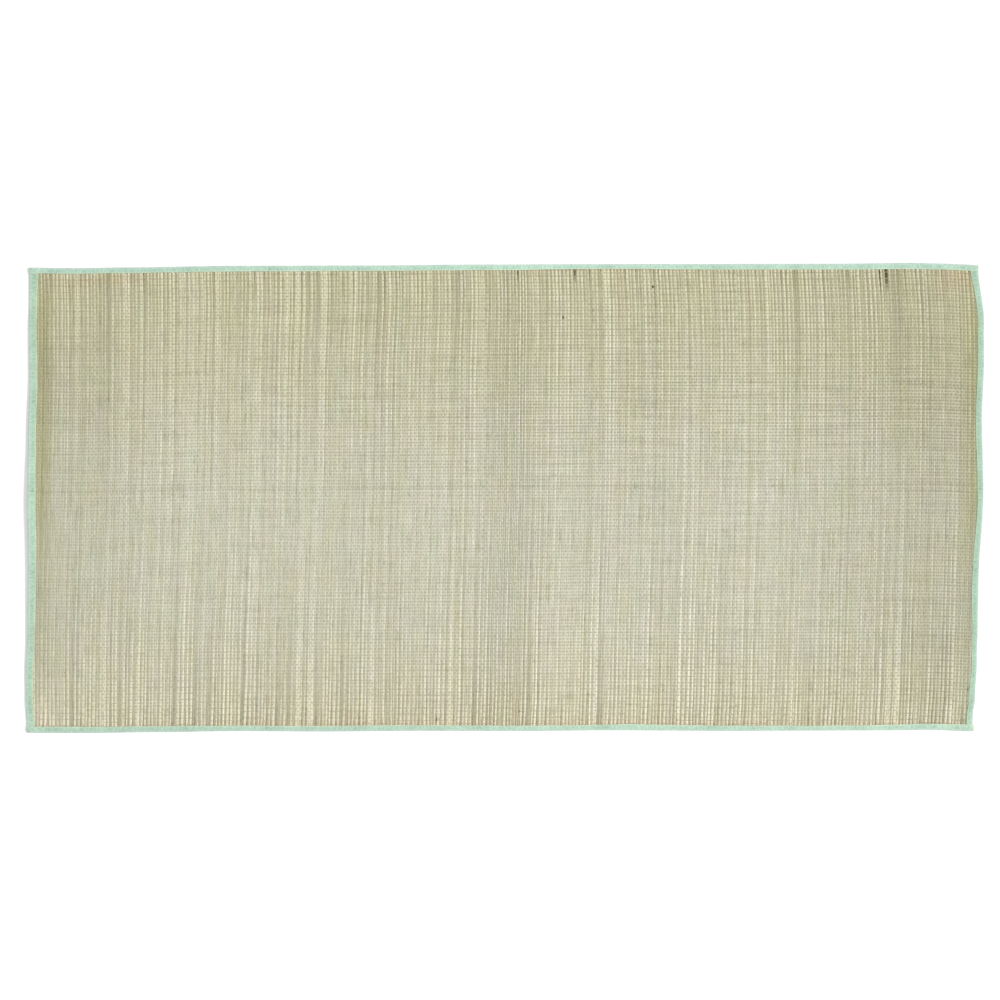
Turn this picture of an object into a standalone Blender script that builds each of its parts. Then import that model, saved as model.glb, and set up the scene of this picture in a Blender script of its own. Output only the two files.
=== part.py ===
"""A straw beach mat lying open: one woven straw sheet, its four edges each bound in a folded tape.

Metres. +X runs along the mat, +Y across it and +Z up, with the origin on the ground under its middle.
"""

from collections import namedtuple
from math import cos, pi, sin

import bmesh
import bpy

MAT_LENGTH = 1.80
MAT_WIDTH = 0.88
STRAW_THICKNESS = 0.0020
TAPE_THICKNESS = 0.0005
GAP = 0.0003  # between one piece and the next

TAPE_WIDTHS = {"back": 0.0104, "front": 0.0104, "left": 0.0138, "right": 0.0112}
FRONT_TAPE_OVERHANG = 0.0025  # past the mat's right end, where its cut end wasn't trimmed
FOLD_RADIUS = (STRAW_THICKNESS + 2 * GAP + 2 * TAPE_THICKNESS) / 2  # outside of a tape's fold
TUCK = FOLD_RADIUS + GAP  # how far inside the fold the straw and the wrapped tapes end
TAPE_STEP = TAPE_THICKNESS + GAP  # how far one layer of tape raises what lies on it
STEP_RUN = 0.009  # how far past a tape the straw takes to come down to the ground

CURL_REACH = 0.070  # how far in from an end the straw starts to lift
CREASE_Y = 0.022  # a soft crease along the mat, left from being folded
CREASE_HEIGHT = 0.0008
CREASE_HALF_WIDTH = 0.030
CREASE_FADE = 0.20

CELL_LENGTH = 0.050  # of the straw sheet's facets, away from its edges
EDGE_DEPTHS = (0.020, 0.036, 0.055, 0.080)  # closer rows of facets along the edges
FOLD_STEPS = 4

# The mat's outline. Share runs left to right along the back and front, and back to front at the ends.
# Out is how far the edge lies outside its straight line, and lift how far it stands off the ground.
Edge = namedtuple("Edge", "share out_mm lift_mm")

OUTLINE = {
    "back": (
        Edge(0.000, -4.6, 0.0),
        Edge(0.050, -5.5, 0.0),
        Edge(0.100, -4.1, 0.0),
        Edge(0.220, -1.0, 0.0),
        Edge(0.350, -0.4, 0.0),
        Edge(0.480, 1.4, 0.0),
        Edge(0.620, 2.3, 0.0),
        Edge(0.850, 2.9, 0.0),
        Edge(0.930, 4.5, 0.0),
        Edge(0.960, 3.4, 0.0),
        Edge(0.985, 1.6, 0.0),
        Edge(1.000, 0.1, 0.0),
    ),
    "front": (
        Edge(0.000, 4.3, 0.0),
        Edge(0.060, 4.6, 0.0),
        Edge(0.140, 2.9, 0.0),
        Edge(0.220, 0.9, 0.0),
        Edge(0.310, 1.7, 0.0),
        Edge(0.410, 0.5, 0.0),
        Edge(0.530, 0.7, 0.0),
        Edge(0.620, -0.6, 0.0),
        Edge(0.740, 0.7, 0.0),
        Edge(0.890, -0.3, 0.0),
        Edge(0.955, -1.2, 0.0),
        Edge(1.000, 1.2, 0.0),
    ),
    "left": (
        Edge(0.000, -0.4, 0.0),
        Edge(0.070, -0.6, 0.3),
        Edge(0.130, 0.5, 0.7),
        Edge(0.230, -1.6, 2.4),
        Edge(0.360, 0.2, 4.5),
        Edge(0.500, 1.2, 7.5),
        Edge(0.640, 0.1, 5.8),
        Edge(0.800, 3.0, 2.8),
        Edge(0.870, 5.9, 1.7),
        Edge(0.930, 6.2, 0.8),
        Edge(1.000, 3.4, 0.0),
    ),
    "right": (
        Edge(0.000, -5.3, 0.0),
        Edge(0.120, 6.0, 0.0),
        Edge(0.200, 6.0, 0.8),
        Edge(0.330, 1.7, 1.6),
        Edge(0.480, 4.4, 2.0),
        Edge(0.690, -4.9, 1.6),
        Edge(0.760, -5.9, 1.2),
        Edge(0.850, -7.7, 0.6),
        Edge(0.930, -11.0, 0.0),
        Edge(0.967, -15.2, 0.0),
        Edge(1.000, -16.8, 0.0),
    ),
}

# Linear base colour, roughness and metallic value of each material.
Finish = namedtuple("Finish", "colour roughness metallic")

STRAW = Finish((0.578, 0.558, 0.392, 1.0), 0.62, 0.0)
TAPE = Finish((0.445, 0.679, 0.515, 1.0), 0.85, 0.0)


def eased(share):
    """0 up to share 0, 1 from share 1, and smooth between."""
    share = min(max(share, 0.0), 1.0)
    return share * share * (3.0 - 2.0 * share)


def read_edge(side, share):
    """How far the mat's edge lies out and is lifted at this share of its side, in metres."""
    rows = OUTLINE[side]
    share = min(max(share, 0.0), 1.0)
    after = next(i for i in range(1, len(rows)) if share <= rows[i].share)
    low, high = rows[after - 1], rows[after]
    mix = eased((share - low.share) / (high.share - low.share))
    out = low.out_mm + (high.out_mm - low.out_mm) * mix
    lift = low.lift_mm + (high.lift_mm - low.lift_mm) * mix
    return out / 1000, lift / 1000


def depth_from(side, x, y):
    """How far in a place on the straight-edged mat lies from one of its sides."""
    return {
        "back": MAT_WIDTH / 2 - y,
        "front": MAT_WIDTH / 2 + y,
        "left": MAT_LENGTH / 2 + x,
        "right": MAT_LENGTH / 2 - x,
    }[side]


def on_tape(side, x, y):
    """1 over a side's tape, 0 away from it, and smooth over the run between."""
    past = depth_from(side, x, y) - TAPE_WIDTHS[side] - GAP
    return 1.0 - eased(past / STEP_RUN)


def on_long_tapes(x, y):
    return max(on_tape("back", x, y), on_tape("front", x, y))


def on_end_tapes(x, y):
    return max(on_tape("left", x, y), on_tape("right", x, y))


def settled(x, y, z):
    """Where a place on the straight-edged, flat mat is as the mat lies."""
    along = 0.5 + x / MAT_LENGTH
    across = 0.5 - y / MAT_WIDTH
    back, _ = read_edge("back", along)
    front, _ = read_edge("front", along)
    left, left_lift = read_edge("left", across)
    right, right_lift = read_edge("right", across)

    wave = right * along - left * (1.0 - along)
    spread = back * (1.0 - across) - front * across

    left_depth = depth_from("left", x, y)
    right_depth = depth_from("right", x, y)
    left_curl = left_lift * max(0.0, 1.0 - left_depth / CURL_REACH) ** 2
    right_curl = right_lift * max(0.0, 1.0 - right_depth / CURL_REACH) ** 2
    crease = CREASE_HEIGHT * eased(1.0 - abs(y - CREASE_Y) / CREASE_HALF_WIDTH)
    crease *= eased(min(left_depth, right_depth) / CREASE_FADE)
    return x + wave, y + spread, z + left_curl + right_curl + crease


def spaced(low, high, longest):
    """Even places from low to high, no further apart than longest."""
    count = int((high - low) / longest) + 1
    return [low + (high - low) * i / count for i in range(count + 1)]


def edge_rows(side, first):
    """Depths of the rows of facets along a side: its end, its tape, the straw's step down and beyond."""
    tape_end = TAPE_WIDTHS[side] + GAP
    beyond = [depth for depth in EDGE_DEPTHS if depth > tape_end + STEP_RUN + GAP]
    return [first, tape_end, tape_end + STEP_RUN / 2, tape_end + STEP_RUN] + beyond


def rows_between(half, low_side, high_side, first, crease=()):
    """Places for rows of facets from one side to the other, closer together along both and on a crease."""
    low = [depth - half for depth in edge_rows(low_side, first)]
    high = [half - depth for depth in reversed(edge_rows(high_side, first))]
    middle = spaced(low[-1], high[0], CELL_LENGTH)[1:-1]
    middle = [place for place in middle if all(abs(place - other) > CELL_LENGTH / 2 for other in crease)]
    return sorted(low + middle + list(crease) + high)


def columns_along(first):
    return rows_between(MAT_LENGTH / 2, "left", "right", first)


def rows_across(first):
    crease = [CREASE_Y + CREASE_HALF_WIDTH * share for share in (-1.0, -0.5, 0.0, 0.5, 1.0)]
    return rows_between(MAT_WIDTH / 2, "front", "back", first, crease)


def grid_object(name, columns, rows, place, thickness, offset, finish):
    """A cloth surface whose grid points go where place puts them, made solid by its thickness."""
    mesh = bpy.data.meshes.new(name)
    surface = bmesh.new()
    bmesh.ops.create_grid(surface, x_segments=columns, y_segments=rows, size=0.5)
    for vertex in surface.verts:
        column = round((vertex.co.x + 0.5) * columns)
        row = round((vertex.co.y + 0.5) * rows)
        vertex.co = settled(*place(column, row))
    # neighbouring pieces split their facets along the same diagonals, so that the gap between them holds
    bmesh.ops.triangulate(surface, faces=surface.faces, quad_method="SHORT_EDGE")
    bmesh.ops.recalc_face_normals(surface, faces=surface.faces)
    surface.to_mesh(mesh)
    surface.free()

    piece = bpy.data.objects.new(name, mesh)
    parts.objects.link(piece)
    solid = piece.modifiers.new("Thickness", "SOLIDIFY")
    solid.thickness = thickness
    solid.offset = offset
    solid.use_even_offset = True

    material = bpy.data.materials.new(name)
    material.use_nodes = True
    shader = material.node_tree.nodes["Principled BSDF"]
    shader.inputs["Base Color"].default_value = finish.colour
    shader.inputs["Roughness"].default_value = finish.roughness
    shader.inputs["Metallic"].default_value = finish.metallic
    material.diffuse_color = finish.colour
    mesh.materials.append(material)
    return piece


def make_straw_sheet():
    """The woven straw, from inside one fold to inside the other, stepping up onto each tape under it."""
    columns = columns_along(TUCK)
    rows = rows_across(TUCK)

    def place(column, row):
        x, y = columns[column], rows[row]
        return x, y, TAPE_STEP * (on_long_tapes(x, y) + on_end_tapes(x, y))

    return grid_object(
        "straw_sheet", len(columns) - 1, len(rows) - 1, place, STRAW_THICKNESS, 1.0, STRAW
    )


def tape_section(width):
    """Depth, height and share of any rise, round the middle of a folded tape's thickness."""
    middle = FOLD_RADIUS - TAPE_THICKNESS / 2
    section = [(width, FOLD_RADIUS - middle, 0.0)]
    for step in range(FOLD_STEPS + 1):
        turn = pi * step / FOLD_STEPS
        depth = FOLD_RADIUS - middle * sin(turn)
        section.append((depth, FOLD_RADIUS - middle * cos(turn), (1.0 - cos(turn)) / 2))
    section.append((width, FOLD_RADIUS + middle, 1.0))
    return section


def make_long_tape(side):
    """A tape along the back or front, whose upper half steps over the end tapes."""
    section = tape_section(TAPE_WIDTHS[side])
    columns = columns_along(0.0)
    if side == "front":
        columns[-1] += FRONT_TAPE_OVERHANG
    outward = 1 if side == "back" else -1

    def place(column, row):
        x = columns[column]
        depth, height, share = section[row]
        y = outward * (MAT_WIDTH / 2 - depth)
        return x, y, height + 2 * TAPE_STEP * share * on_end_tapes(x, y)

    return grid_object(
        f"binding_{side}", len(columns) - 1, len(section) - 1, place, TAPE_THICKNESS, 0.0, TAPE
    )


def make_end_tape(side):
    """A tape across an end, lifted at both ends onto the long tapes that wrap it."""
    section = tape_section(TAPE_WIDTHS[side])
    rows = rows_across(TUCK)
    outward = 1 if side == "right" else -1

    def place(column, row):
        y = rows[row]
        depth, height, _ = section[column]
        x = outward * (MAT_LENGTH / 2 - depth)
        return x, y, height + TAPE_STEP * on_long_tapes(x, y)

    return grid_object(
        f"binding_{side}", len(section) - 1, len(rows) - 1, place, TAPE_THICKNESS, 0.0, TAPE
    )


for old in list(bpy.data.objects):
    bpy.data.objects.remove(old, do_unlink=True)

parts = bpy.data.collections.new("straw_beach_mat")
bpy.context.scene.collection.children.link(parts)

make_straw_sheet()
make_long_tape("back")
make_long_tape("front")
make_end_tape("left")
make_end_tape("right")
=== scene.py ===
from math import pi

import bmesh
import bpy
import numpy as np
from mathutils import Matrix


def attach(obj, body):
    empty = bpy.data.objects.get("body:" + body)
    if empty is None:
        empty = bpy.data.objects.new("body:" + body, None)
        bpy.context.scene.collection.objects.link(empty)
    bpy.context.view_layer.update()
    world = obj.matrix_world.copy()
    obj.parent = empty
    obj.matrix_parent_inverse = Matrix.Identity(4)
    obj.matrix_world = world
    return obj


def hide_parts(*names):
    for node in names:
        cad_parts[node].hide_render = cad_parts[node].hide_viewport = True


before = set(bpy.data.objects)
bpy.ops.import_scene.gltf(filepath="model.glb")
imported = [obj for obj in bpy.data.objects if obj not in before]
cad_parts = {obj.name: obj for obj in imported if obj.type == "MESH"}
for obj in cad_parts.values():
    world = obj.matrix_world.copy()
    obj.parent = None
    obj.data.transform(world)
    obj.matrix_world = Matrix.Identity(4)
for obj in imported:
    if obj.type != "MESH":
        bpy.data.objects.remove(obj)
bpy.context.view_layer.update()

# How the mat lies, in metres: straight edges first, then what bends and lifts them.
mat = {
    "length": 1.80,
    "width": 0.88,
    "strawThickness": 0.0020,
    "tapeThickness": 0.0005,
    "gap": 0.0003,
    "tapeWidths": {"back": 0.0104, "front": 0.0104, "left": 0.0138, "right": 0.0112},
    "frontOverhang": 0.0025,
    "stepRun": 0.009,
    "curlReach": 0.070,
    "creaseY": 0.022,
    "creaseHeight": 0.0008,
    "creaseHalfWidth": 0.030,
    "creaseFade": 0.20,
}
foldRadius = mat["strawThickness"] / 2 + mat["gap"] + mat["tapeThickness"]
tuck = foldRadius + mat["gap"]
tapeStep = mat["tapeThickness"] + mat["gap"]
halfStraw = mat["width"] / 2 - tuck
longSides = ("back", "front")

# Share along the side, how far the edge lies out and how far it lifts, both in millimetres.
outline = {
    "back": (
        (0.00, -4.6, 0.0), (0.05, -5.5, 0.0), (0.10, -4.1, 0.0), (0.22, -1.0, 0.0),
        (0.35, -0.4, 0.0), (0.48, 1.4, 0.0), (0.62, 2.3, 0.0), (0.85, 2.9, 0.0),
        (0.93, 4.5, 0.0), (0.96, 3.4, 0.0), (0.985, 1.6, 0.0), (1.00, 0.1, 0.0),
    ),
    "front": (
        (0.00, 4.3, 0.0), (0.06, 4.6, 0.0), (0.14, 2.9, 0.0), (0.22, 0.9, 0.0),
        (0.31, 1.7, 0.0), (0.41, 0.5, 0.0), (0.53, 0.7, 0.0), (0.62, -0.6, 0.0),
        (0.74, 0.7, 0.0), (0.89, -0.3, 0.0), (0.955, -1.2, 0.0), (1.00, 1.2, 0.0),
    ),
    "left": (
        (0.00, -0.4, 0.0), (0.07, -0.6, 0.3), (0.13, 0.5, 0.7), (0.23, -1.6, 2.4),
        (0.36, 0.2, 4.5), (0.50, 1.2, 7.5), (0.64, 0.1, 5.8), (0.80, 3.0, 2.8),
        (0.87, 5.9, 1.7), (0.93, 6.2, 0.8), (1.00, 3.4, 0.0),
    ),
    "right": (
        (0.00, -5.3, 0.0), (0.12, 6.0, 0.0), (0.20, 6.0, 0.8), (0.33, 1.7, 1.6),
        (0.48, 4.4, 2.0), (0.69, -4.9, 1.6), (0.76, -5.9, 1.2), (0.85, -7.7, 0.6),
        (0.93, -11.0, 0.0), (0.967, -15.2, 0.0), (1.00, -16.8, 0.0),
    ),
}


def eased(share):
    # 0 to 1, with a gentle start and end
    share = np.clip(share, 0.0, 1.0)
    return share * share * (3.0 - 2.0 * share)


def between(table, share):
    # what a table of shares and values says at a share
    return np.interp(share, *np.array(table).T)


def shareAlong(x):
    # 0 at the left end, 1 at the right one
    return 0.5 + x / mat["length"]


def shareAcross(y):
    # 0 at the back edge, 1 at the front one
    return 0.5 - y / mat["width"]


def readEdge(side, share):
    # how far the edge lies out and lifts at this share of its side, in metres
    rows = np.array(outline[side])
    share = np.clip(share, 0.0, 1.0)
    after = np.clip(np.searchsorted(rows[:, 0], share), 1, len(rows) - 1)
    low, high = rows[after - 1], rows[after]
    mix = eased((share - low[..., 0]) / (high[..., 0] - low[..., 0]))
    read = low + (high - low) * mix[..., None]
    return read[..., 1] / 1000, read[..., 2] / 1000


def depthFrom(side, x, y):
    # how far in a place on the straight-edged mat lies from one of its sides
    return {
        "back": mat["width"] / 2 - y,
        "front": mat["width"] / 2 + y,
        "left": mat["length"] / 2 + x,
        "right": mat["length"] / 2 - x,
    }[side]


def onTape(side, x, y):
    # 1 where a place lies on this side's tape, easing to 0 beside it
    past = depthFrom(side, x, y) - mat["tapeWidths"][side] - mat["gap"]
    return 1.0 - eased(past / mat["stepRun"])


def onLongTapes(x, y):
    return np.maximum(onTape("back", x, y), onTape("front", x, y))


def onEndTapes(x, y):
    return np.maximum(onTape("left", x, y), onTape("right", x, y))


def middleHeight(x, y):
    # how high the middle of the straws lies, which climbs onto the tapes' lower halves
    return tapeStep * (onLongTapes(x, y) + onEndTapes(x, y)) + mat["strawThickness"] / 2


def settled(x, y, z):
    # where a place on the straight-edged, flat mat is as the mat lies
    along, across = shareAlong(x), shareAcross(y)
    back, _ = readEdge("back", along)
    front, _ = readEdge("front", along)
    left, leftLift = readEdge("left", across)
    right, rightLift = readEdge("right", across)
    leftDepth = depthFrom("left", x, y)
    rightDepth = depthFrom("right", x, y)
    wave = right * along - left * (1.0 - along)
    spread = back * (1.0 - across) - front * across
    curl = leftLift * np.maximum(0.0, 1.0 - leftDepth / mat["curlReach"]) ** 2
    curl = curl + rightLift * np.maximum(0.0, 1.0 - rightDepth / mat["curlReach"]) ** 2
    crease = mat["creaseHeight"] * eased(1.0 - np.abs(y - mat["creaseY"]) / mat["creaseHalfWidth"])
    crease = crease * eased(np.minimum(leftDepth, rightDepth) / mat["creaseFade"])
    return x + wave, y + spread, z + curl + crease


def rolledMould(sides, rings, flatEnds):
    # a grid rolled into a tube along Y, its ends closed to a point or pinched flat
    mould = bmesh.new()
    mould.loops.layers.uv.new("strand")
    bmesh.ops.create_grid(mould, x_segments=sides, y_segments=rings, size=0.5, calc_uvs=True)
    for vert in mould.verts:
        turn = 2 * pi * (vert.co.x + 0.5)
        ring = round((vert.co.y + 0.5) * rings)
        atEnd = ring in (0, rings)
        vert.co.x = np.cos(turn) if flatEnds or not atEnd else 0.0
        vert.co.z = 0.0 if atEnd else np.sin(turn)
    bmesh.ops.remove_doubles(mould, verts=mould.verts, dist=1e-5)
    bmesh.ops.recalc_face_normals(mould, faces=mould.faces)
    mesh = bpy.data.meshes.new("mould")
    mould.to_mesh(mesh)
    mould.free()
    return mesh


def readList(items, name, kind=np.float32, each=1):
    values = np.empty(len(items) * each, kind)
    items.foreach_get(name, values)
    return values


def strands(name, count, sides, rings, flatEnds=False):
    # count copies of a mould in one piece, with each point's strand, ring and place round it
    mould = rolledMould(sides, rings, flatEnds)
    lot = bmesh.new()
    for _ in range(count):
        lot.from_mesh(mould)
    mesh = bpy.data.meshes.new(name)
    lot.to_mesh(mesh)
    lot.free()
    mesh.shade_smooth()
    piece = bpy.data.objects.new(name, mesh)
    bpy.context.scene.collection.objects.link(piece)
    places = readList(mesh.vertices, "co", each=3).reshape(count, -1, 3)
    ring = np.rint((places[..., 1] + 0.5) * rings).astype(int)
    bpy.data.meshes.remove(mould)
    return piece, ring, places[..., 0], places[..., 2]


def placeVerts(piece, x, y, z):
    mesh = piece.data
    mesh.vertices.foreach_set("co", np.stack([x, y, z], -1).astype(np.float32).ravel())
    mesh.update()


def giveAttributes(piece, **lists):
    for name, values in lists.items():
        made = piece.data.attributes.new(name, "FLOAT", "POINT")
        made.data.foreach_set("value", np.asarray(values, np.float32).ravel())


def bakeMap(piece, stops, numbers, bands=1):
    # strand: metres along, and strand number plus share round it
    # OFBake: the strands in rows over the whole map, each cut into this many bands
    mesh = piece.data
    count = len(numbers)
    uv = readList(mesh.uv_layers["strand"].uv, "vector", each=2).reshape(count, -1, 2)
    around, along = uv[..., 0], uv[..., 1]
    ring = np.rint(along * (len(stops) - 1)).astype(int)
    metres = np.asarray(stops)[ring]
    strand = np.stack([metres, np.asarray(numbers)[:, None] + around], -1)
    first = readList(mesh.polygons, "loop_start", np.int32)
    total = readList(mesh.polygons, "loop_total", np.int32)
    share = (metres - stops[0]) / (stops[-1] - stops[0])
    nearest = np.minimum.reduceat(ring.ravel(), first) / (len(stops) - 1)
    band = np.minimum(np.floor(nearest * bands + 1e-4), bands - 1)
    band = np.repeat(band, total).reshape(count, -1)
    if bands > 1:
        share = along
    border, margin = 0.002, 0.06
    column = border + (1 - 2 * border) * (share * bands - band)
    row = np.arange(count)[:, None] * bands + band + margin + around * (1 - 2 * margin)
    bake = np.stack([column, row / (count * bands)], -1)
    mesh.uv_layers["strand"].uv.foreach_set("vector", strand.astype(np.float32).ravel())
    mesh.uv_layers.new(name="OFBake", do_init=False)
    mesh.uv_layers["OFBake"].uv.foreach_set("vector", bake.astype(np.float32).ravel())


class Value:
    # a number that varies over a surface; arithmetic on it adds Math nodes
    def __init__(self, finish, socket):
        self.finish = finish
        self.socket = socket

    def __add__(self, other):
        return self.finish.math("ADD", self, other)

    def __radd__(self, other):
        return self.finish.math("ADD", other, self)

    def __sub__(self, other):
        return self.finish.math("SUBTRACT", self, other)

    def __rsub__(self, other):
        return self.finish.math("SUBTRACT", other, self)

    def __mul__(self, other):
        return self.finish.math("MULTIPLY", self, other)

    def __rmul__(self, other):
        return self.finish.math("MULTIPLY", other, self)

    def __pow__(self, other):
        return self.finish.math("POWER", self, other)


class Finish:
    # one material, and the one method that adds any node to it
    def __init__(self, name, roughness):
        self.material = bpy.data.materials.new(name)
        self.material.use_nodes = True
        self.tree = self.material.node_tree
        self.shader = self.tree.nodes["Principled BSDF"]
        self.shader.inputs["Roughness"].default_value = roughness

    def node(self, kind, settings, sockets, output=0):
        made = self.tree.nodes.new(kind)
        for key, value in settings.items():
            if key == "stops":
                while len(made.color_ramp.elements) < len(value):
                    made.color_ramp.elements.new(1.0)
                for element, (position, colour) in zip(made.color_ramp.elements, value):
                    element.position = position
                    element.color = (*colour, 1.0)
            else:
                setattr(made, key, value)
        for key, value in sockets.items():
            if isinstance(value, Value):
                self.tree.links.new(value.socket, made.inputs[key])
            else:
                made.inputs[key].default_value = value
        return Value(self, made.outputs[output])

    def math(self, operation, first, second=0.0):
        return self.node("ShaderNodeMath", {"operation": operation}, {0: first, 1: second})

    def attribute(self, name):
        return self.node("ShaderNodeAttribute", {"attribute_name": name}, {}, "Fac")

    def strandPlace(self):
        # metres along a strand, and its number plus the share round it
        uv = self.node("ShaderNodeUVMap", {"uv_map": "strand"}, {})
        parts = self.node("ShaderNodeSeparateXYZ", {}, {0: uv})
        return parts, Value(self, parts.socket.node.outputs[1])

    def point(self, x, y, z=0.0):
        return self.node("ShaderNodeCombineXYZ", {}, {0: x, 1: y, 2: z})

    def pattern(self, along, across, perMetre, perStrand, detail=2.0, roughness=0.5):
        # noise stretched along the strands
        place = self.point(along * perMetre, across * perStrand)
        sockets = {"Vector": place, "Scale": 1.0, "Detail": detail, "Roughness": roughness}
        return self.node("ShaderNodeTexNoise", {}, sockets, "Fac")

    def ramp(self, value, stops):
        return self.node("ShaderNodeValToRGB", {"stops": stops}, {0: value})

    def range(self, value, low, high, toLow=0.0, toHigh=1.0):
        sockets = {0: value, 1: low, 2: high, 3: toLow, 4: toHigh}
        return self.node("ShaderNodeMapRange", {"clamp": True}, sockets)

    def mix(self, share, first, second, blend="MIX"):
        settings = {"data_type": "RGBA", "blend_type": blend}
        return self.node("ShaderNodeMix", settings, {0: share, 6: first, 7: second}, 2)

    def tint(self, colour, by):
        return self.mix(1.0, colour, by, "MULTIPLY")

    def surface(self, colour, roughness=None, bumps=()):
        self.tree.links.new(colour.socket, self.shader.inputs["Base Color"])
        if roughness is not None:
            self.tree.links.new(roughness.socket, self.shader.inputs["Roughness"])
        before = {}
        for height, distance, strength in bumps:
            sockets = {"Height": height, "Distance": distance, "Strength": strength, **before}
            before = {"Normal": self.node("ShaderNodeBump", {}, sockets)}
        for normal in before.values():
            self.tree.links.new(normal.socket, self.shader.inputs["Normal"])
        return self.material


def wear(piece, material, node):
    # a piece's finish, its body, and the CAD node that it stands for
    piece.data.materials.clear()
    piece.data.materials.append(material)
    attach(piece, "root")
    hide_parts(node)


# Straws run across the mat. Each has a wide, pale root end and a thin, darker tip end.
straws = {
    "count": 504,
    "sides": 6,
    # rings of points: metres in from a straw's ends, how many between, metres from the crease
    "endRings": (0.0, 0.003, 0.008, 0.011, 0.0145, 0.020, 0.034, 0.052, 0.080),
    "middleRings": 12,
    "creaseRings": (-0.030, -0.015, 0.0, 0.015, 0.030),
    "creaseClear": 0.039,
    "halfThickness": 0.00046,
    "tipThickness": 0.85,
    "thickening": 0.25,
    "thicknessSpread": 0.07,
    "flatness": 0.55,
    "tipLength": 0.0004,
    "tipMap": 0.002,  # how far the grain runs past each end
    # how much of a straw's taper and change of colour shows near each end, and how far in
    "contrast": {
        "back": {"far": 0.64, "farFade": 0.40, "near": 0.22, "nearFade": 0.045},
        "front": {"far": 0.93, "farFade": 0.268, "near": 0.0, "nearFade": 0.045},
    },
    # how the straws vary: widths in shares of their pitch, and sway in metres
    "taper": 0.36,
    "unevenness": 0.20,
    "wander": 0.10,
    "wanderRings": 2,
    "turnedRound": 0.035,  # share lying the other way round
    "doubled": 0.09,  # share that are thin, with the next one
    "thinWidth": 0.72,
    "evenedOver": 14,  # straws
    "spill": 1.14,  # how much wider each is than its own place
    "sway": 0.0007,
    "swayReach": 0.03,
    "roll": 0.182,
    "rollRings": 3,
    # places where the sewn edge has pushed the straws along: share of the length, and metres
    "gathers": (
        {"side": "back", "share": 0.36, "halfWidth": 0.32, "depth": 0.22, "shift": 0.0084},
        {"side": "front", "share": 0.18, "halfWidth": 0.17, "depth": 0.42, "shift": -0.0040},
    ),
    # how far out straws lie beside each end: share from back to front, and millimetres
    "leans": {
        "left": ((0.0, -4.5), (0.08, -6.1), (0.24, -6.1), (0.40, -4.2), (0.80, 4.7), (1.0, 5.1)),
        "right": (
            (0.0, -6.0), (0.08, -0.6), (0.16, 1.6), (0.24, 2.0), (0.50, 0.3), (0.60, -1.9),
            (0.80, -7.5), (0.92, -10.6), (1.0, -15.3),
        ),
    },
    # how much straws differ in brightness; the darkest differ more than the lightest
    "shadeSpread": 0.062,
    "shadeSwing": 0.60,
    "shadeSkew": 0.7,
    "shadeLowest": -0.115,
    "seed": 21,
    # each lot's share of the straws, and its colours at tip, body and root
    "lots": {
        "straws_sage": (0.42, (0.364, 0.350, 0.230), (0.526, 0.520, 0.394), (0.696, 0.668, 0.504)),
        "straws_wheat": (0.26, (0.364, 0.347, 0.229), (0.530, 0.521, 0.394), (0.699, 0.666, 0.501)),
        "straws_cream": (0.15, (0.392, 0.375, 0.254), (0.556, 0.547, 0.423), (0.752, 0.718, 0.556)),
        "straws_olive": (0.11, (0.346, 0.333, 0.214), (0.512, 0.508, 0.379), (0.655, 0.629, 0.467)),
        "straws_russet": (0.06, (0.347, 0.324, 0.22), (0.517, 0.503, 0.382), (0.68, 0.64, 0.484)),
    },
}
strawPitch = (mat["length"] - 2 * tuck) / straws["count"]


def strawRings():
    # places along a straw, close together where it climbs over the edge tapes
    near = np.array(straws["endRings"]) - halfStraw
    crease = mat["creaseY"] + np.array(straws["creaseRings"])
    middle = np.linspace(near[-1], -near[-1], straws["middleRings"] + 2)[1:-1]
    middle = middle[np.abs(middle - mat["creaseY"]) > straws["creaseClear"]]
    return np.sort(np.concatenate([near, middle, crease, -near[::-1]]))


def smoothed(values, window):
    # running mean down the first axis
    padded = np.pad(values, ((window, window), (0, 0)), mode="edge")
    sums = np.cumsum(np.vstack([np.zeros(values.shape[1]), padded]), axis=0)
    return (sums[2 * window + 1:] - sums[:-2 * window - 1]) / (2 * window + 1)


def gathered(x, y):
    # how far along the mat the straws have been pushed at a place
    along, across = shareAlong(x), shareAcross(y)
    shift = np.zeros(np.broadcast(x, y).shape)
    for side, share in (("left", along - 1.0), ("right", along)):
        out = between(straws["leans"][side], across) / 1000
        shift = shift + share * (out - readEdge(side, across)[0])
    for part in straws["gathers"]:
        near = eased(1.0 - np.abs(along - part["share"]) / part["halfWidth"])
        inward = eased(1.0 - depthFrom(part["side"], x, y) / part["depth"])
        shift = shift + part["shift"] * near * inward
    return shift


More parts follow.
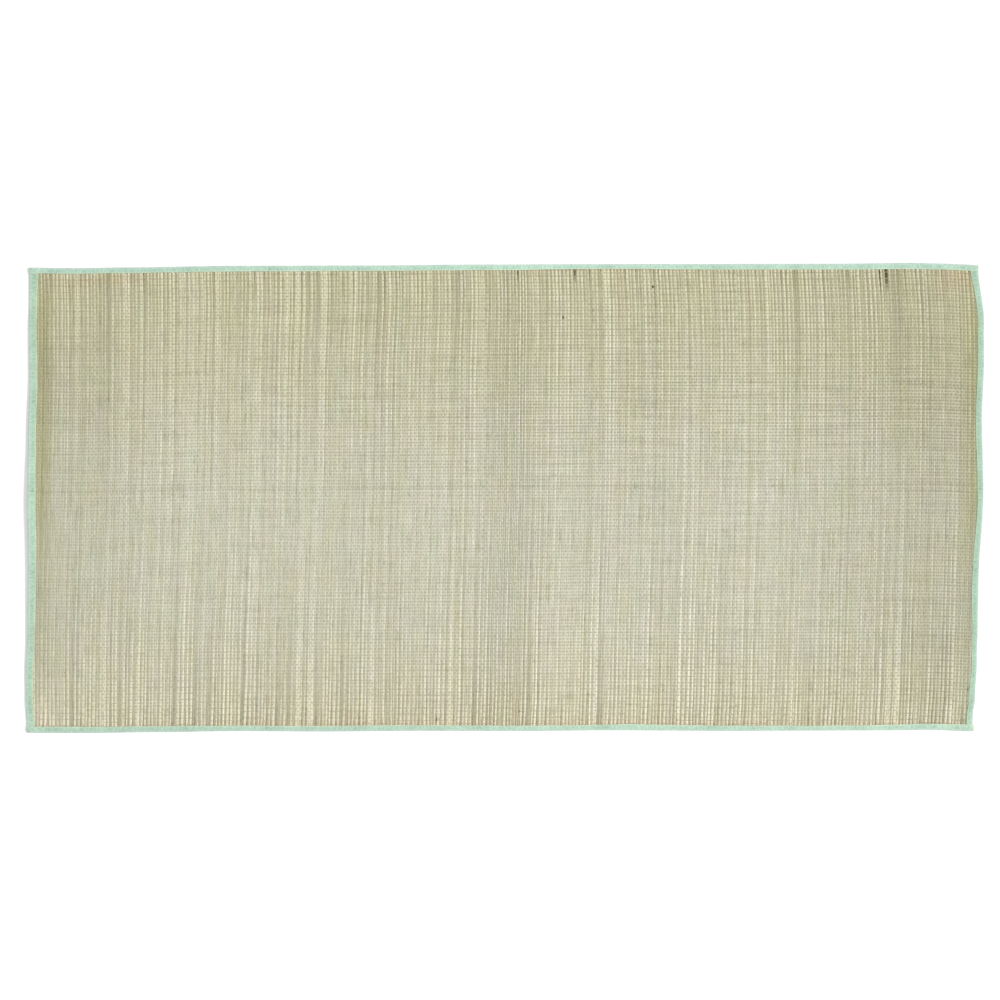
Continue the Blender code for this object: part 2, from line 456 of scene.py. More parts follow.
def layStraws():
    # each straw's middle and width at each ring, over the straight-edged mat
    rng = np.random.default_rng(straws["seed"])
    count = straws["count"]
    y = strawRings()
    endness = np.zeros_like(y)
    for side, part in straws["contrast"].items():
        inward = depthFrom(side, 0.0, y)
        shows = part["far"] * np.exp(-inward / part["farFade"])
        shows += part["near"] * np.exp(-inward / part["nearFade"])
        endness += shows * (1 if side == "back" else -1)
    # straws lie root to tip by turns, but for a few
    rootEnd = np.where(np.arange(count) % 2 == 0, 1, -1)
    rootEnd = rootEnd * np.where(rng.random(count) < straws["turnedRound"], -1, 1)
    rooted = 0.5 + 0.5 * rootEnd[:, None] * endness[None, :]
    # where two thin straws share one pass of the threads, the second has the first one's number
    doubled = rng.random(count) < straws["doubled"]
    doubled[0] = False
    doubled[1:] &= ~doubled[:-1]
    thin = doubled | np.roll(doubled, -1)
    uneven = straws["unevenness"] * rng.standard_normal((count, 1)).clip(-2, 2)
    wander = smoothed(rng.standard_normal((len(y), count)), straws["wanderRings"]).T
    width = 1 + straws["taper"] * (rooted - 0.5) + uneven + wander * straws["wander"]
    width = width * np.where(thin, straws["thinWidth"], 1.0)[:, None]
    width = width * strawPitch / width.mean(0)
    # side by side, then evened out so that no stretch of them runs ahead
    middle = np.cumsum(width, axis=0) - width / 2
    even = strawPitch * (np.arange(count)[:, None] + 0.5)
    middle = middle - smoothed(middle - even, straws["evenedOver"]) - mat["length"] / 2 + tuck
    middle = middle + gathered(middle, y[None, :])
    sway = rng.standard_normal((count, 2)) * straws["sway"]
    for column, side in enumerate(("back", "front")):
        loose = np.exp(-depthFrom(side, 0.0, y) / straws["swayReach"])
        middle = middle + sway[:, column:column + 1] * loose
    thickness = straws["halfThickness"] * (straws["tipThickness"] + straws["thickening"] * rooted)
    thickness = thickness * (1 + straws["thicknessSpread"] * rng.standard_normal((count, 1)))
    roll = smoothed(rng.standard_normal((len(y), count)), straws["rollRings"]).T * straws["roll"]
    return {
        "y": y,
        "roll": roll,
        "middle": middle,
        "width": width,
        "thickness": thickness,
        "rooted": rooted,
        "passNumber": np.cumsum(~doubled) - 1,
        "rng": rng,
    }


laid = layStraws()


def strawAt(x, y):
    # the straw that lies nearest to a place on the settled mat
    ring = np.abs(laid["y"] - y).argmin()
    middle = laid["middle"][:, ring]
    return np.abs(settled(middle, np.full_like(middle, y), 0.0)[0] - x).argmin()


def strawLots():
    # which lot each straw belongs to
    shares = np.array([lot[0] for lot in straws["lots"].values()])
    return laid["rng"].choice(len(shares), straws["count"], p=shares / shares.sum())


def strawShades():
    # how much lighter or darker each straw is
    shade = laid["rng"].standard_normal(straws["count"])
    shade = straws["shadeSpread"] * (shade - straws["shadeSwing"] * np.roll(shade, 1))
    shade = shade - straws["shadeSkew"] * (shade ** 2 - (shade ** 2).mean())
    return np.maximum(shade, straws["shadeLowest"])


# What sun, handling and damp have left on the straws, and painted shade towards the mat's left and
# right ends.
weathering = {
    # the brightness lost towards the left and right ends is painted shade; towards the back it is
    # the straws' own ageing
    # from each side: how far in, brightness lost, warmth gained, and how much of both a corner gets
    "ageingAndShade": (
        ("left", 0.32, 0.105, 0.0, 0.25),
        ("left", 0.060, 0.17, 0.0, 0.55),
        ("right", 0.42, 0.150, 0.20, 0.45),
        ("right", 0.030, 0.08, 0.0, 0.3),
        ("back", 0.46, 0.09, 0.75, 1.0),
        ("front", 0.26, 0.015, 0.25, 1.0),
    ),
    "cornerReach": 0.22,
    # where soft edges end, in shares of a reach; a bruise's starts at the first
    "goldenEdge": 1.35,
    "spotEdge": 1.5,
    "tipEdge": 1.6,
    "bruiseEdge": (0.4, 1.1),
    # the painted shade at the left end is deeper towards the back and lighter towards the front:
    # share, from, fade
    "leftMore": (0.15, -0.10, 0.16),
    "leftLess": (0.20, -0.20, 0.20),
    # golden strips beside the end tapes: how wide, where they start along the side, how strong
    "golden": {
        "left": {"width": 0.029, "from": 0.00, "amount": 0.95},
        "right": {"width": 0.028, "from": 0.02, "amount": 0.85},
    },
    "goldenUntil": 0.70,
    "goldenFades": (0.10, 0.20),
    # pink-brown stains: place, reach along and across the mat, and strength
    "stains": (
        (-0.815, 0.412, 0.060, 0.008, 0.8),
        (-0.735, 0.416, 0.050, 0.010, 0.7),
        (0.030, -0.401, 0.006, 0.018, 1.0),
        (0.045, -0.428, 0.900, 0.009, 0.6),
        (0.885, 0.418, 0.050, 0.026, 0.9),
        (-0.868, -0.410, 0.014, 0.040, 0.4),
        (0.000, -0.440, 0.750, 0.100, 0.22),
        (0.170, 0.437, 0.620, 0.013, 0.55),
    ),
    # paler and darker patches: place, reach along and across the mat, and how much lighter
    "patches": (
        (0.170, -0.340, 0.150, 0.170, 0.05),
        (-0.868, -0.415, 0.014, 0.050, 0.15),
        (0.836, -0.365, 0.020, 0.095, -0.10),
        (0.861, 0.360, 0.012, 0.110, 0.06),
        (0.861, -0.410, 0.012, 0.050, 0.06),
    ),
    # what each of these tints a straw with
    "tints": {
        "warm": (0.97, 0.95, 0.82),
        "gold": (0.90, 0.89, 0.715),
        "stain": (1.00, 0.90, 0.84),
    },
    # small dark bruises: place, reach across and along the straw, and strength
    "bruises": (
        (0.1097, 0.3400, 0.0028, 0.0046, 0.95),
        (0.2790, 0.3975, 0.0028, 0.0034, 1.00),
        (0.8757, -0.3610, 0.0034, 0.0050, 0.45),
        (0.8790, -0.3560, 0.0026, 0.0030, 0.40),
        (-0.1296, -0.4180, 0.0034, 0.0070, 0.65),
        (0.0274, -0.4030, 0.0030, 0.0030, 0.60),
        (0.5060, 0.0216, 0.0030, 0.0024, 0.60),
    ),
    # straws with a dark tip: place along the mat, end, how far in, and how dark
    "darkTips": (
        (0.7065, "back", 0.042, 1.00),
        (0.7180, "back", 0.042, 1.00),
        (0.0216, "back", 0.022, 0.90),
        (0.1304, "back", 0.026, 0.90),
        (0.6450, "back", 0.026, 0.35),
        (0.8180, "back", 0.024, 0.35),
        (0.8890, "back", 0.030, 0.35),
        (0.8760, "front", 0.060, 0.35),
    ),
    "darkColour": (0.055, 0.036, 0.005),
}


def goldAt(x, y):
    # how golden a place is, 0 to 1
    gold = np.zeros_like(x)
    across = shareAcross(y)
    fadeIn, fadeOut = weathering["goldenFades"]
    for side, part in weathering["golden"].items():
        inward = depthFrom(side, x, y) - mat["tapeWidths"][side]
        strip = eased(weathering["goldenEdge"] - inward / part["width"])
        strip = strip * eased((across - part["from"]) / fadeIn)
        strip = strip * eased((weathering["goldenUntil"] - across) / fadeOut)
        gold = gold + part["amount"] * strip
    return gold


def spotAt(x, y, spot):
    # how strongly one stain or patch shows at a place
    spotX, spotY, alongReach, acrossReach, amount = spot
    far = np.hypot((x - spotX) / alongReach, (y - spotY) / acrossReach)
    return amount * eased(weathering["spotEdge"] - far)


def stainAt(x, y):
    return sum(spotAt(x, y, stain) for stain in weathering["stains"])


def agedAndShaded(x, y):
    # brightness left at a place, with painted shade towards the left and right ends, and warmth
    # gained
    light, warm = np.ones_like(x), np.zeros_like(x)
    inner = np.minimum(depthFrom("back", x, y), depthFrom("front", x, y))
    more, moreFrom, moreFade = weathering["leftMore"]
    less, lessFrom, lessFade = weathering["leftLess"]
    leftEnd = 1.0 + more * eased((y - moreFrom) / moreFade)
    leftEnd = leftEnd - less * eased((lessFrom - y) / lessFade)
    clear = eased(inner / weathering["cornerReach"])
    for side, reach, darkened, warmed, corner in weathering["ageingAndShade"]:
        near = eased(1.0 - depthFrom(side, x, y) / reach)
        near = near * (corner + (1.0 - corner) * clear)
        if side == "left":
            near = near * leftEnd
        light = light * (1.0 - darkened * near)
        warm = warm + warmed * near
    for patch in weathering["patches"]:
        light = light * (1.0 + spotAt(x, y, patch))
    return light, warm


def tipsDarkened():
    # how dark each straw is at each ring, 0 to 1
    dark = np.zeros((straws["count"], len(laid["y"])))
    inward = mat["width"] / 2 - np.abs(laid["y"])
    for place, end, reach, amount in weathering["darkTips"]:
        outward = 1 if end == "back" else -1
        nearest = strawAt(place, outward * mat["width"] / 2)
        tip = eased(weathering["tipEdge"] - inward / reach)
        dark[nearest] += amount * (outward * laid["y"] > 0) * tip
    return dark


def bruised(made, along, across):
    # how bruised a place on a straw is, 0 to 1
    whole = 0.0
    for x, y, reachAcross, reachAlong, amount in weathering["bruises"]:
        sideways = (across - (strawAt(x, y) + 0.5)) * (strawPitch / reachAcross)
        lengthways = (along - (y + halfStraw)) * (1 / reachAlong)
        far = (sideways * sideways + lengthways * lengthways) ** 0.5
        whole = made.range(far, *weathering["bruiseEdge"], amount, 0.0) + whole
    return whole


# Threads run along the mat, over one straw and under the next.
threads = {
    "spacing": 0.0059,
    "sides": 3,
    "halfWidth": 0.00080,
    "halfThickness": 0.00022,
    "reach": 0.00076,
    "overShare": 0.26,  # of a straw's width
    "endGap": 0.004,
    "wander": 0.0006,
    "wanderStraws": 6,
    "lots": 4,
    "blend": 0.24,  # how much lighter threads are where no rows show
    "colour": (0.478, 0.463, 0.350),
    "level": 0.60,
    # patterns: how often they repeat in a metre of thread and from thread to thread, and strength
    "twist": (900.0, 2.0),
    "twists": 0.30,
    "soiling": (30.0, 0.7),
    "soils": 0.50,
    "twistBump": (0.0001, 0.5),
    "roughness": 0.8,
    # how deep the painted shade along each thread's row is, by share of the mat from left to right
    # and back to front
    "rowShadeAlong": ((0.0, 0.65), (0.15, 0.84), (0.30, 0.88), (0.50, 1.04), (0.70, 1.10), (1.0, 1.10)),
    "rowShadeAcross": (
        (0.0, 0.95), (0.10, 1.15), (0.18, 1.20), (0.30, 1.45), (0.40, 1.18), (0.52, 0.90),
        (0.62, 0.82), (0.72, 0.94), (0.84, 0.93), (0.94, 0.82), (1.0, 0.62),
    ),
}


def rowShadeAt(x, y):
    # how deep the painted shade along the threads' rows is at a place
    along = between(threads["rowShadeAlong"], shareAlong(x))
    return along * between(threads["rowShadeAcross"], shareAcross(y))


# How a straw is coloured and shaded, in shares of its own brightness.
strawPaint = {
    # patterns: how often they repeat in a metre of straw and from one straw to the next,
    # and for some their detail and roughness
    "streak": (21.0, 5.0, 3.0, 0.7),
    "fleck": (230.0, 3.1, 2.0, 0.6),
    "blotch": (15.0, 1.7),
    "greenPatch": (8.0, 0.10, 3.0, 0.8),
    "palePatch": (8.0, 0.09, 3.0, 0.8),
    "rowShadePattern": (190.0, 0.02),
    "gapFade": (14.0, 3.7),
    # how strong each pattern is; flecks from the front ends to this far in
    "streaks": 1.00,
    "flecks": (0.0, 0.10, 0.85, 0.48),
    "blotches": 0.18,
    "greens": 0.095,
    "pales": 0.37,
    "paleness": 1.015,
    "rowShadeStrength": 0.32,
    # the level that the patterns play round, and how much the lightest places are held back
    "level": 0.930,
    "heldBack": 1.80,
    "raised": 0.0125,
    # painted shade in the threads' grooves, the fold along the middle and the gaps between straws,
    # with a painted highlight on the fold's lip; each range says from where to where, and how
    # strong at each
    "pressed": 0.010,
    "grooveShade": 0.066,
    "fold": (0.0012, 0.0046, 0.078, 0.0),
    "foldSetBack": 0.0060,
    "foldSlant": 0.000017,
    "lipHighlight": (0.0, 0.005, 0.03, 0.0),
    "lipDistance": 0.0064,
    "flank": (0.55, 1.0),
    "gapShade": (0.55, 0.75, 0.02, 0.62),
    "roughness": (0.2, 0.8, 0.5, 0.72),
    "yellowing": 1.23,
    "paleFurther": 5.0,  # metres from the green pattern to the pale one
    # bumps: height in metres, and strength
    "pressedBump": (0.0003, 0.4),
    "streakBump": (0.0002, 0.5),
}


def grey(made, value):
    return made.point(value, value, value)


def strawShade(made, value):
    # straw keeps its yellow in the shade, and pales where it is light
    return made.point(value, value, value ** strawPaint["yellowing"])


def strawColour(made, lot, along, across):
    # a straw's own colour from tip to root, then what has tinted it
    blotch = made.pattern(along, across, *strawPaint["blotch"])
    tone = made.attribute("rooted") + (blotch - 0.5) * strawPaint["blotches"]
    _, tip, body, root = lot
    colour = made.ramp(tone, [(0.0, tip), (0.5, body), (1.0, root)])
    for cause, tint in weathering["tints"].items():
        colour = made.mix(made.attribute(cause), colour, made.tint(colour, (*tint, 1.0)))
    green = made.pattern(along, across, *strawPaint["greenPatch"])
    further = along + strawPaint["paleFurther"]
    pale = made.pattern(further, across, *strawPaint["palePatch"])
    redder = 1.0 + (green - 0.5) * strawPaint["greens"]
    bluer = strawPaint["paleness"] + (pale - 0.5) * strawPaint["pales"]
    return made.tint(colour, made.point(redder, 2.0 - redder, bluer))


def strawLight(made, along, across, streak, pressed):
    # how bright a place on a straw is, painted shade included; straws are more flecked towards
    # their front ends
    fleck = made.pattern(along, across, *strawPaint["fleck"])
    flecks = made.range(along, *strawPaint["flecks"])
    rows = made.pattern(along, across, *strawPaint["rowShadePattern"])
    rowShade = made.attribute("rows")
    light = strawPaint["level"] + (streak - 0.5) * strawPaint["streaks"] + (fleck - 0.5) * flecks
    # painted shade that differs from one thread's row to the next
    light = light + (rows - 0.5) * rowShade * strawPaint["rowShadeStrength"]
    # dark flecks stand out more than light ones
    away = light - strawPaint["level"]
    light = light - away * away * strawPaint["heldBack"] + strawPaint["raised"]
    # painted shade where threads lie over the straws and in the groove every thread leaves across
    # them
    grooveShading = made.math("COSINE", along * (2 * pi / threads["spacing"]))
    light = light - pressed * strawPaint["pressed"] - grooveShading * rowShade * strawPaint["grooveShade"]
    # the mat was folded along its middle once; its crease is painted shade, with a painted
    # highlight on the lip
    crease = mat["creaseY"] + halfStraw - strawPaint["foldSetBack"]
    past = along - crease - across * strawPaint["foldSlant"]
    fold = made.math("ABSOLUTE", past)
    lipHighlight = made.math("ABSOLUTE", past + strawPaint["lipDistance"])
    light = light - made.range(fold, *strawPaint["fold"]) + made.range(lipHighlight, *strawPaint["lipHighlight"])
    light = light * made.attribute("light")
    # painted shade in some gaps between straws
    straw = made.math("FLOOR", across)
    gap = made.pattern(along, straw, *strawPaint["gapFade"])
    flank = made.range(made.attribute("flank"), *strawPaint["flank"])
    return light * (1.0 - flank * made.range(gap, *strawPaint["gapShade"]))


def strawFinish(name, lot):
    made = Finish(name, 0.6)
    along, across = made.strandPlace()
    streak = made.pattern(along, across, *strawPaint["streak"])
    row = along * (1.0 / threads["spacing"])
    # where a thread lies over the straw, for a bump and for painted shade
    pressed = made.math("COSINE", (row + made.math("FLOOR", across)) * pi)
    colour = strawColour(made, lot, along, across)
    light = strawLight(made, along, across, streak, pressed)
    colour = made.tint(colour, strawShade(made, light))
    dark = made.attribute("dark") + bruised(made, along, across)
    colour = made.mix(dark, colour, (*weathering["darkColour"], 1.0))
    roughness = made.range(streak, *strawPaint["roughness"])
    bumps = [(pressed * -0.5, *strawPaint["pressedBump"]), (streak, *strawPaint["streakBump"])]
    return made.surface(colour, roughness, bumps)


def makeStraws():
    # each lot's piece, with the flat size of its straws laid side by side
    lots = strawLots()
    shade = strawShades()
    dark = tipsDarkened()
    rings = len(laid["y"])
    length = mat["width"] - 2 * tuck
    stops = np.concatenate([[0.0], laid["y"] + length / 2, [length]])
    stops[[0, -1]] += np.array([-1, 1]) * straws["tipMap"]
    pieces = {}
    for number, (name, lot) in enumerate(straws["lots"].items()):
        mine = np.flatnonzero(lots == number)
        piece, ring, px, pz = strands(name, len(mine), straws["sides"], rings + 1)
        beyond = straws["tipLength"] * ((ring == rings + 1) * 1.0 - (ring == 0))
        flank = np.abs(px)
        ring = np.clip(ring - 1, 0, rings - 1)
        which = mine[:, None]
        sideways = np.sign(px) * flank ** straws["flatness"] * laid["width"][which, ring] / 2
        x = laid["middle"][which, ring] + sideways * straws["spill"]
        y = laid["y"][ring] + beyond
        z = middleHeight(x, y) + pz * laid["thickness"][which, ring]
        z = z + sideways * laid["roll"][which, ring]
        placeVerts(piece, *settled(x, y, z))
        # brightness with painted shade towards the ends, and warmth
        light, warm = agedAndShaded(x, y)
        giveAttributes(
            piece,
            rooted=laid["rooted"][which, ring],
            light=light * (1 + shade[which]),
            warm=warm,
            gold=goldAt(x, y),
            stain=stainAt(x, y),
            dark=dark[which, ring],
            rows=rowShadeAt(x, y),
            flank=flank,
        )
        bakeMap(piece, stops, mine)
        wear(piece, strawFinish(name, lot), "straw_sheet")
        pieces[piece] = (length, float(laid["width"][mine].mean(1).sum()))
    return pieces


def threadFinish(name):
    made = Finish(name, threads["roughness"])
    along, across = made.strandPlace()
    twist = made.pattern(along, across, *threads["twist"])
    soiled = made.pattern(along, across, *threads["soiling"])
    light = threads["level"] + twist * threads["twists"] + soiled * threads["soils"]
    light = light * made.attribute("light")
    colour = made.tint((*threads["colour"], 1.0), strawShade(made, light))
    return made.surface(colour, None, [(twist, *threads["twistBump"])])


def makeThreads():
    # each thread passes over one straw, with a ring on each side of it, and under the next
    half = halfStraw - threads["endGap"]
    first = np.ceil(threads["endGap"] / threads["spacing"])
    order = np.arange(first, 2 * halfStraw / threads["spacing"])
    places = order * threads["spacing"] - halfStraw
    order = order[places < half].astype(int)
    places = places[places < half]
    passes = laid["passNumber"]
    count = (passes[-1] + 1) // 2 * 2
    rings = count // 2 * 3
    # where the straws are at each thread, from the rings on either side of it
    at = np.interp(places, laid["y"], np.arange(len(laid["y"])))
    low = np.clip(np.floor(at).astype(int), 0, len(laid["y"]) - 2)
    share = at - low
    middle = laid["middle"][:, low] * (1 - share) + laid["middle"][:, low + 1] * share
    width = laid["width"][:, low] * (1 - share) + laid["width"][:, low + 1] * share
    # the middle and width of what each thread passes over or under in one go
    firsts = np.searchsorted(passes, np.arange(count))
    lasts = np.searchsorted(passes, np.arange(count), side="right") - 1
    start = middle[firsts] - width[firsts] / 2
    end = middle[lasts] + width[lasts] / 2
    middle, width = (start + end) / 2, end - start
    wander = smoothed(laid["rng"].standard_normal((count, len(places))), threads["wanderStraws"])
    wander = wander * threads["wander"]
    stops = np.linspace(0, mat["length"], rings + 2)
    pieces = []
    for lot in range(threads["lots"]):
        mine = np.arange(lot, len(places), threads["lots"])
        name = f"threads_{lot + 1}"
        piece, ring, px, pz = strands(name, len(mine), threads["sides"], rings + 1)
        ring = np.clip(ring - 1, 0, rings - 1)
        which = mine[:, None]
        odd = order[which] % 2 == 1
        step = ring % 3
        # even threads: over, over, under; odd threads: under, over, over
        straw = ring // 3 * 2 + np.where(odd, step > 0, step == 2)
        over = np.where(odd, step > 0, step < 2)
        side = np.where(odd, step * 2 - 3, step * 2 - 1) * over
        x = middle[straw, which] + side * threads["overShare"] * width[straw, which]
        y = places[which] + wander[straw, which] - px * threads["halfWidth"]
        rise = np.where(over, 1.0, -1.0) * threads["reach"] + pz * threads["halfThickness"]
        placeVerts(piece, *settled(x, y, middleHeight(x, y) + rise))
        # the same painted shade towards the ends
        light, _ = agedAndShaded(x, y)
        # threads are painted lighter where the painted shade of the rows is weak
        giveAttributes(piece, light=light * (1 + threads["blend"] * (1 - rowShadeAt(x, y))))
        bakeMap(piece, stops, mine, bands=3)
        wear(piece, threadFinish(name), "straw_sheet")
        pieces.append(piece)
    return pieces


tapes = {
    # each tape's green, and the paler fold at its outer edge, each side's copy painted lighter or
    # darker for the light on that side
    "colours": {
        "back": (0.368, 0.542, 0.425),
        "front": (0.414, 0.590, 0.462),
        "left": (0.359, 0.509, 0.386),
        "right": (0.346, 0.515, 0.382),
    },
    "foldColours": {
        "back": (0.448, 0.580, 0.490),
        "front": (0.470, 0.605, 0.505),
        "left": (0.460, 0.575, 0.500),
        "right": (0.392, 0.545, 0.445),
    },
    # share along the side, and how much painted light the tape gets there
    "lights": {
        "back": ((0.0, 0.97), (0.12, 0.98), (0.27, 1.02), (0.5, 1.10), (0.75, 1.08), (1.0, 1.04)),
        "front": ((0.0, 0.87), (0.3, 0.89), (0.45, 0.94), (0.65, 0.97), (1.0, 0.98)),
        "left": ((0.0, 1.0), (0.3, 1.0), (0.4, 1.03), (0.6, 1.0), (1.0, 1.0)),
        "right": ((0.0, 1.03), (0.5, 1.02), (0.7, 1.04), (1.0, 1.05)),
    },
    # how much lighter each tape's sewn edge is: its own paler edge, raised by a painted highlight
    # that lifts the shade where tape meets straws
    "selvedgeHighlights": {
        "back": (1.30, 1.17, 1.13),
        "front": (1.38, 1.22, 1.15),
        "left": (1.20, 1.12, 1.08),
        "right": (1.44, 1.25, 1.17),
    },
    # patterns: how often they repeat in a metre of tape and round it, and how strong they are
    "weave": (900.0, 60.0),
    "weaves": 0.3,
    "mottle": (300.0, 14.0),
    "mottles": 0.8,
    "fade": (25.0, 3.0),
    "fades": 0.45,
    "ribPitch": 0.0011,
    "ribs": 0.05,
    "ribBump": (0.00015, 0.7),
    "roughness": 0.85,
    "ringLength": 0.006,
    "endRing": 0.0003,
    "legShares": (0.0, 0.04, 0.12, 0.35, 0.65),  # from the sewn edge to the fold
    "foldSteps": 6,
    # paler strips at the fold and the sewn edge, the latter partly a painted highlight: metres, and
    # where each ends
    "foldReach": 0.0036,
    "foldEdge": 1.5,
    "selvedgeReach": 0.0030,
    "selvedgeEdge": 1.3,
    "waviness": 0.065,
    "wavyRings": 3,
    "pressed": 0.0006,
    "pressedReach": 0.003,
    "longBands": 16,
    "endBands": 8,
    # share along the side, and how much further in the sewn edge lies there, in millimetres
    "wider": {
        "back": (
            (0.0, 0.3), (0.5, 0.0), (0.57, -1.2), (0.63, -1.4), (0.70, 0.0), (0.9, 1.1), (1.0, 1.0),
        ),
        "front": (
            (0.0, 1.6), (0.10, 1.2), (0.16, 1.4), (0.22, 0.3), (0.48, 0.3), (0.58, -0.6),
            (0.63, 1.4), (0.74, 0.0), (0.89, -1.2), (0.95, 1.2), (1.0, 2.8),
        ),
        "left": (
            (0.0, 5.6), (0.05, 0.7), (0.15, 1.2), (0.35, 0.1), (0.5, 0.8), (0.65, 0.1),
            (0.8, 0.4), (0.87, -0.6), (0.95, 0.2), (1.0, 0.4),
        ),
        "right": (
            (0.0, 5.5), (0.05, 0.7), (0.3, 0.2), (0.55, -0.6), (0.7, 0.8), (0.85, -2.0),
            (0.93, 0.1), (1.0, 0.2),
        ),
    },
}


def tapeSection(width):
    # middle of the tape's thickness: depth, height, share of any rise, and its outward direction
    middle = foldRadius - mat["tapeThickness"] / 2
    leg = [width + (foldRadius - width) * share for share in tapes["legShares"]]
    rows = [(depth, foldRadius - middle, 0.0, 0.0, -1.0) for depth in leg]
    for step in range(tapes["foldSteps"] + 1):
        turn = pi * step / tapes["foldSteps"]
        depth = foldRadius - middle * np.sin(turn)
        height = foldRadius - middle * np.cos(turn)
        rows.append((depth, height, (1 - np.cos(turn)) / 2, -np.sin(turn), -np.cos(turn)))
    rows += [(depth, foldRadius + middle, 1.0, 0.0, 1.0) for depth in reversed(leg)]
    return np.array(rows)


def tapeFinish(side):
    made = Finish(f"tape_{side}", tapes["roughness"])
    along, around = made.strandPlace()
    rib = made.math("SINE", along * (2 * pi / tapes["ribPitch"]))
    weave = made.pattern(along, around, *tapes["weave"])
    mottle = made.pattern(along, around, *tapes["mottle"])
    fade = made.pattern(along, around, *tapes["fade"])
    light = 1.0 + rib * tapes["ribs"] + (weave - 0.5) * tapes["weaves"]
    light = light + (mottle - 0.5) * tapes["mottles"] + (fade - 0.5) * tapes["fades"]
    light = light * made.attribute("light")
    green = (*tapes["colours"][side], 1.0)
    colour = made.mix(made.attribute("fold"), green, (*tapes["foldColours"][side], 1.0))
    # the sewn edge paler, partly a painted highlight
    selvedge = made.tint(colour, (*tapes["selvedgeHighlights"][side], 1.0))
    colour = made.mix(made.attribute("selvedge"), colour, selvedge)
    colour = made.tint(colour, grey(made, light))
    return made.surface(colour, None, [(rib * 0.5 + weave * 0.5, *tapes["ribBump"])])


def tapeStops(side, half, rings):
    # places of a tape's rings, with one close behind each end
    even = np.linspace(-half, half, rings - 1)
    ring = tapes["endRing"]
    stops = np.concatenate([even[:1], even[:1] + ring, even[1:-1], even[-1:] - ring, even[-1:]])
    if side == "front":
        stops[-2:] += mat["frontOverhang"]
    return stops


def fixNormals(piece):
    # a piece laid along some sides is mirrored, so its faces point inwards
    shell = bmesh.new()
    shell.from_mesh(piece.data)
    bmesh.ops.recalc_face_normals(shell, faces=shell.faces)
    shell.to_mesh(piece.data)
    shell.free()


def makeTape(side):
    name = f"tape_{side}"
    width = mat["tapeWidths"][side]
    section = tapeSection(width)
    stations = len(section)
    sides = 2 * (stations - 1)
    half = mat["length"] / 2 if side in longSides else halfStraw
    rings = int(2 * half / tapes["ringLength"])
    piece, ring, px, pz = strands(name, 1, sides, rings, flatEnds=True)
    # which station of the section, on the tape's outside or inside
    turn = np.rint(np.arccos(np.clip(px, -1, 1)) / (2 * pi) * sides).astype(int)
    face = np.sign(np.where(np.abs(pz) < 1e-4, 0.0, pz))
    rows = section[turn]
    thick = face * mat["tapeThickness"] / 2
    thick = thick * np.where((turn == 0) | (turn == stations - 1), 0.0, 1.0)
    # the inner edges wander a little, and the upper one is pressed down by its stitches
    wander = smoothed(laid["rng"].standard_normal((rings + 1, 2)), tapes["wavyRings"])
    wander = np.where(turn < stations / 2, wander[ring, 0], wander[ring, 1]) * tapes["waviness"]
    inner = np.maximum(rows[..., 0] - foldRadius, 0.0)
    edge = eased(1.0 - (width - rows[..., 0]) / tapes["pressedReach"])
    depth = rows[..., 0] + inner * wander + rows[..., 3] * thick
    height = rows[..., 1] + rows[..., 4] * thick - tapes["pressed"] * edge * rows[..., 2]
    stops = tapeStops(side, half, rings)
    run = stops[ring]
    x, y, _ = onSide(side, run, depth, height, rows[..., 2])
    further = alongTape("wider", side, x, y) / 1000
    depth = depth + further * (turn > stations / 2) * inner / (width - foldRadius)
    x, y, z = onSide(side, run, depth, height, rows[..., 2])
    placeVerts(piece, *settled(x, y, z))
    fixNormals(piece)
    bakeMap(piece, stops - stops[0], [0], tapes["longBands" if side in longSides else "endBands"])
    giveAttributes(
        piece,
        fold=eased(tapes["foldEdge"] - rows[..., 0] / tapes["foldReach"]),
        selvedge=eased(tapes["selvedgeEdge"] - (width - rows[..., 0]) / tapes["selvedgeReach"]),
        light=alongTape("lights", side, x, y),
    )
    wear(piece, tapeFinish(side), f"binding_{side}")
    seam = sewTape(side, half)
    cutWidth = 2 * (width - foldRadius) + pi * (foldRadius - mat["tapeThickness"] / 2)
    2 * half


def alongTape(table, side, x, y):
    # what a side's table says at a place beside that side
    share = shareAlong(x) if side in longSides else shareAcross(y)
    return between(tapes[table][side], share)


def onSide(side, run, depth, height, upper):
    # x, y and z of a place on a side's tape; upper is 1 where it lies above the straws
    if side in longSides:
        outward = 1 if side == "back" else -1
        x, y = run, outward * (mat["width"] / 2 - depth)
        return x, y, height + 2 * tapeStep * upper * onEndTapes(x, y)
    outward = 1 if side == "right" else -1
    x, y = outward * (mat["length"] / 2 - depth), run
    return x, y, height + tapeStep * onLongTapes(x, y)


# One row of stitches holds each tape.
stitches = {
    "pitch": 0.0040,
    "length": 0.0032,
    "halfWidth": 0.00032,
    "halfThickness": 0.00012,
    "depthIn": 0.0022,
    "endGap": 0.002,
    "topSunk": 0.00003,
    "bottomProud": 0.00002,
    "endSunk": 0.00020,
    "sides": 4,
    "rings": 3,
    "colour": (0.43, 0.56, 0.46),
    "level": 0.8,
    "twist": (1500.0, 2.0),
    "twists": 0.4,
    "roughness": 0.7,
}


def stitchFinish(name):
    made = Finish(name, stitches["roughness"])
    along, across = made.strandPlace()
    twist = made.pattern(along, across, *stitches["twist"])
    light = grey(made, stitches["level"] + twist * stitches["twists"])
    return made.surface(made.tint((*stitches["colour"], 1.0), light))


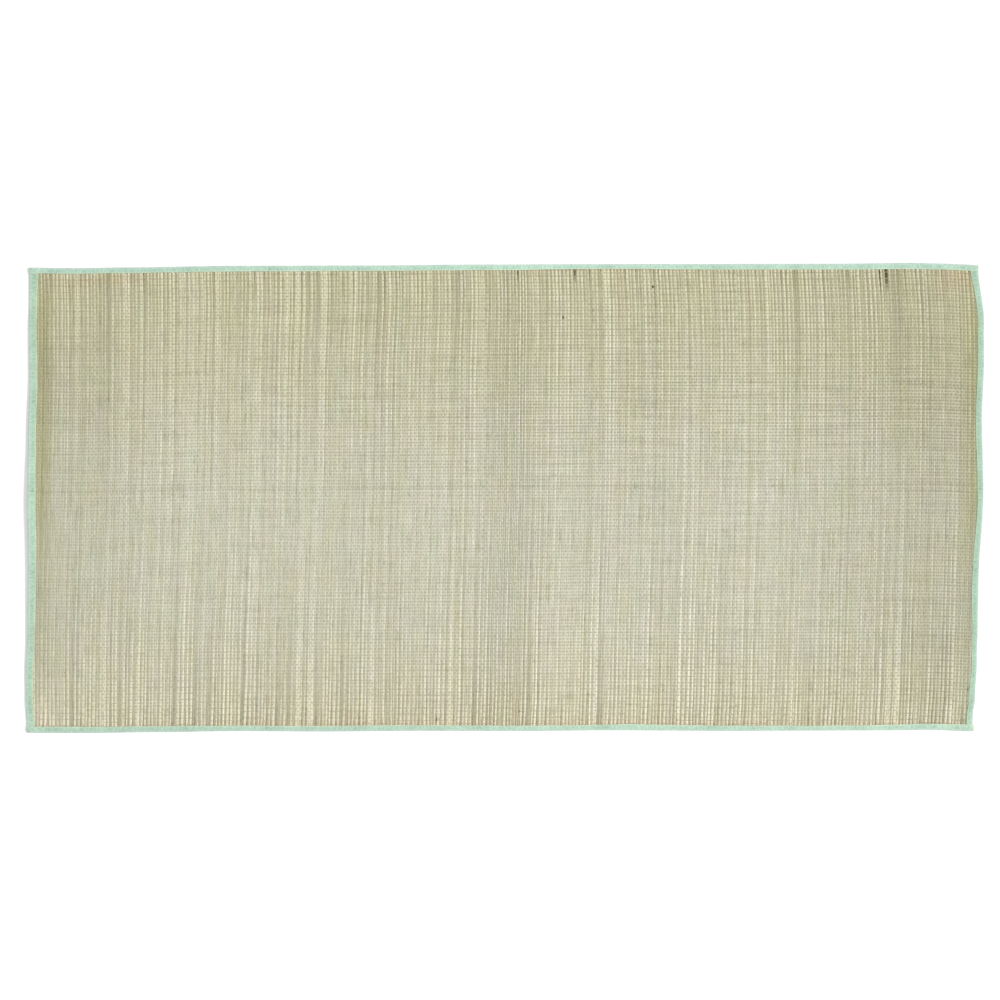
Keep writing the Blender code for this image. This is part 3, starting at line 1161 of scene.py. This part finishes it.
def sewTape(side, half):
    # one row of stitches along the tape's inner edge, on its top and on its underside
    name = f"stitches_{side}"
    width = mat["tapeWidths"][side]
    # the end tapes' stitches stop where the long tapes cover them
    reach = half - (stitches["endGap"] if side in longSides else mat["tapeWidths"]["back"])
    middles = np.arange(-reach, reach, stitches["pitch"]) + stitches["pitch"] / 2
    both = len(middles) * 2
    rings = stitches["rings"]
    piece, ring, px, pz = strands(name, both, stitches["sides"], rings)
    upper = (np.arange(both) % 2)[:, None] * np.ones_like(px)
    middle = np.repeat(middles, 2)[:, None]
    run = middle + (ring / rings - 0.5) * stitches["length"]
    depth = width - stitches["depthIn"] + px * stitches["halfWidth"]
    x, y, _ = onSide(side, run, depth, 0.0, upper)
    depth = depth + upper * alongTape("wider", side, x, y) / 1000
    sunk = ((ring == 0) | (ring == rings)) * stitches["endSunk"]
    top = foldRadius * 2 - stitches["topSunk"] - sunk
    bottom = sunk - stitches["bottomProud"]
    height = np.where(upper > 0, top, bottom) + pz * stitches["halfThickness"]
    x, y, z = onSide(side, run, depth, height, upper)
    placeVerts(piece, *settled(x, y, z))
    fixNormals(piece)
    bakeMap(piece, np.linspace(0, stitches["length"], rings + 1), np.arange(both))
    wear(piece, stitchFinish(name), f"binding_{side}")
    return piece


laidStraws = makeStraws()
print("straws laid")
woven = makeThreads()
print("threads woven")
for piece, flat in laidStraws.items():
    # the threads hold all the straws, so held gives them to the first lot only
    held = woven if piece == next(iter(laidStraws)) else []
for side in ("back", "front", "left", "right"):
    makeTape(side)
print("edges bound")

studio = {
    "view": (-0.0095, -0.0039),
    "viewWidth": 1.8915,
    "lens": 85.0,
    "sensor": 36.0,
    "floorSize": 40.0,
    "floorDrop": 0.0003,
    "floorColour": (0.93, 0.93, 0.93, 1),
    "floorRoughness": 0.9,
    "skyStrength": 0.85,
    "keyTurn": (0.0, 0.80, -0.10),
    "keySpread": 0.18,
    "keyPower": 1.75,
}


def makeStudio():
    bpy.ops.mesh.primitive_plane_add(size=studio["floorSize"], location=(0, 0, 0))
    floor = bpy.context.object
    floor.name = "floor"
    floor.data.transform(Matrix.Translation((0, 0, -studio["floorDrop"])))
    made = Finish("floor", studio["floorRoughness"])
    made.shader.inputs["Base Color"].default_value = studio["floorColour"]
    floor.data.materials.append(made.material)

    world = bpy.data.worlds.new("studio")
    world.use_nodes = True
    sky = world.node_tree.nodes["Background"]
    sky.inputs["Color"].default_value = (1, 1, 1, 1)
    sky.inputs["Strength"].default_value = studio["skyStrength"]
    bpy.context.scene.world = world

    lamp = bpy.data.lights.new("key", "SUN")
    lamp.angle = studio["keySpread"]
    lamp.energy = studio["keyPower"]
    key = bpy.data.objects.new("key", lamp)
    key.rotation_euler = studio["keyTurn"]
    bpy.context.scene.collection.objects.link(key)

    lens = bpy.data.cameras.new("camera")
    lens.lens = studio["lens"]
    lens.sensor_width = studio["sensor"]
    camera = bpy.data.objects.new("camera", lens)
    height = studio["viewWidth"] * studio["lens"] / studio["sensor"] + mat["strawThickness"]
    camera.location = (*studio["view"], height)
    bpy.context.scene.collection.objects.link(camera)
    bpy.context.scene.camera = camera


makeStudio()
bpy.context.scene.view_settings.view_transform = "Standard"
print("light and camera set")
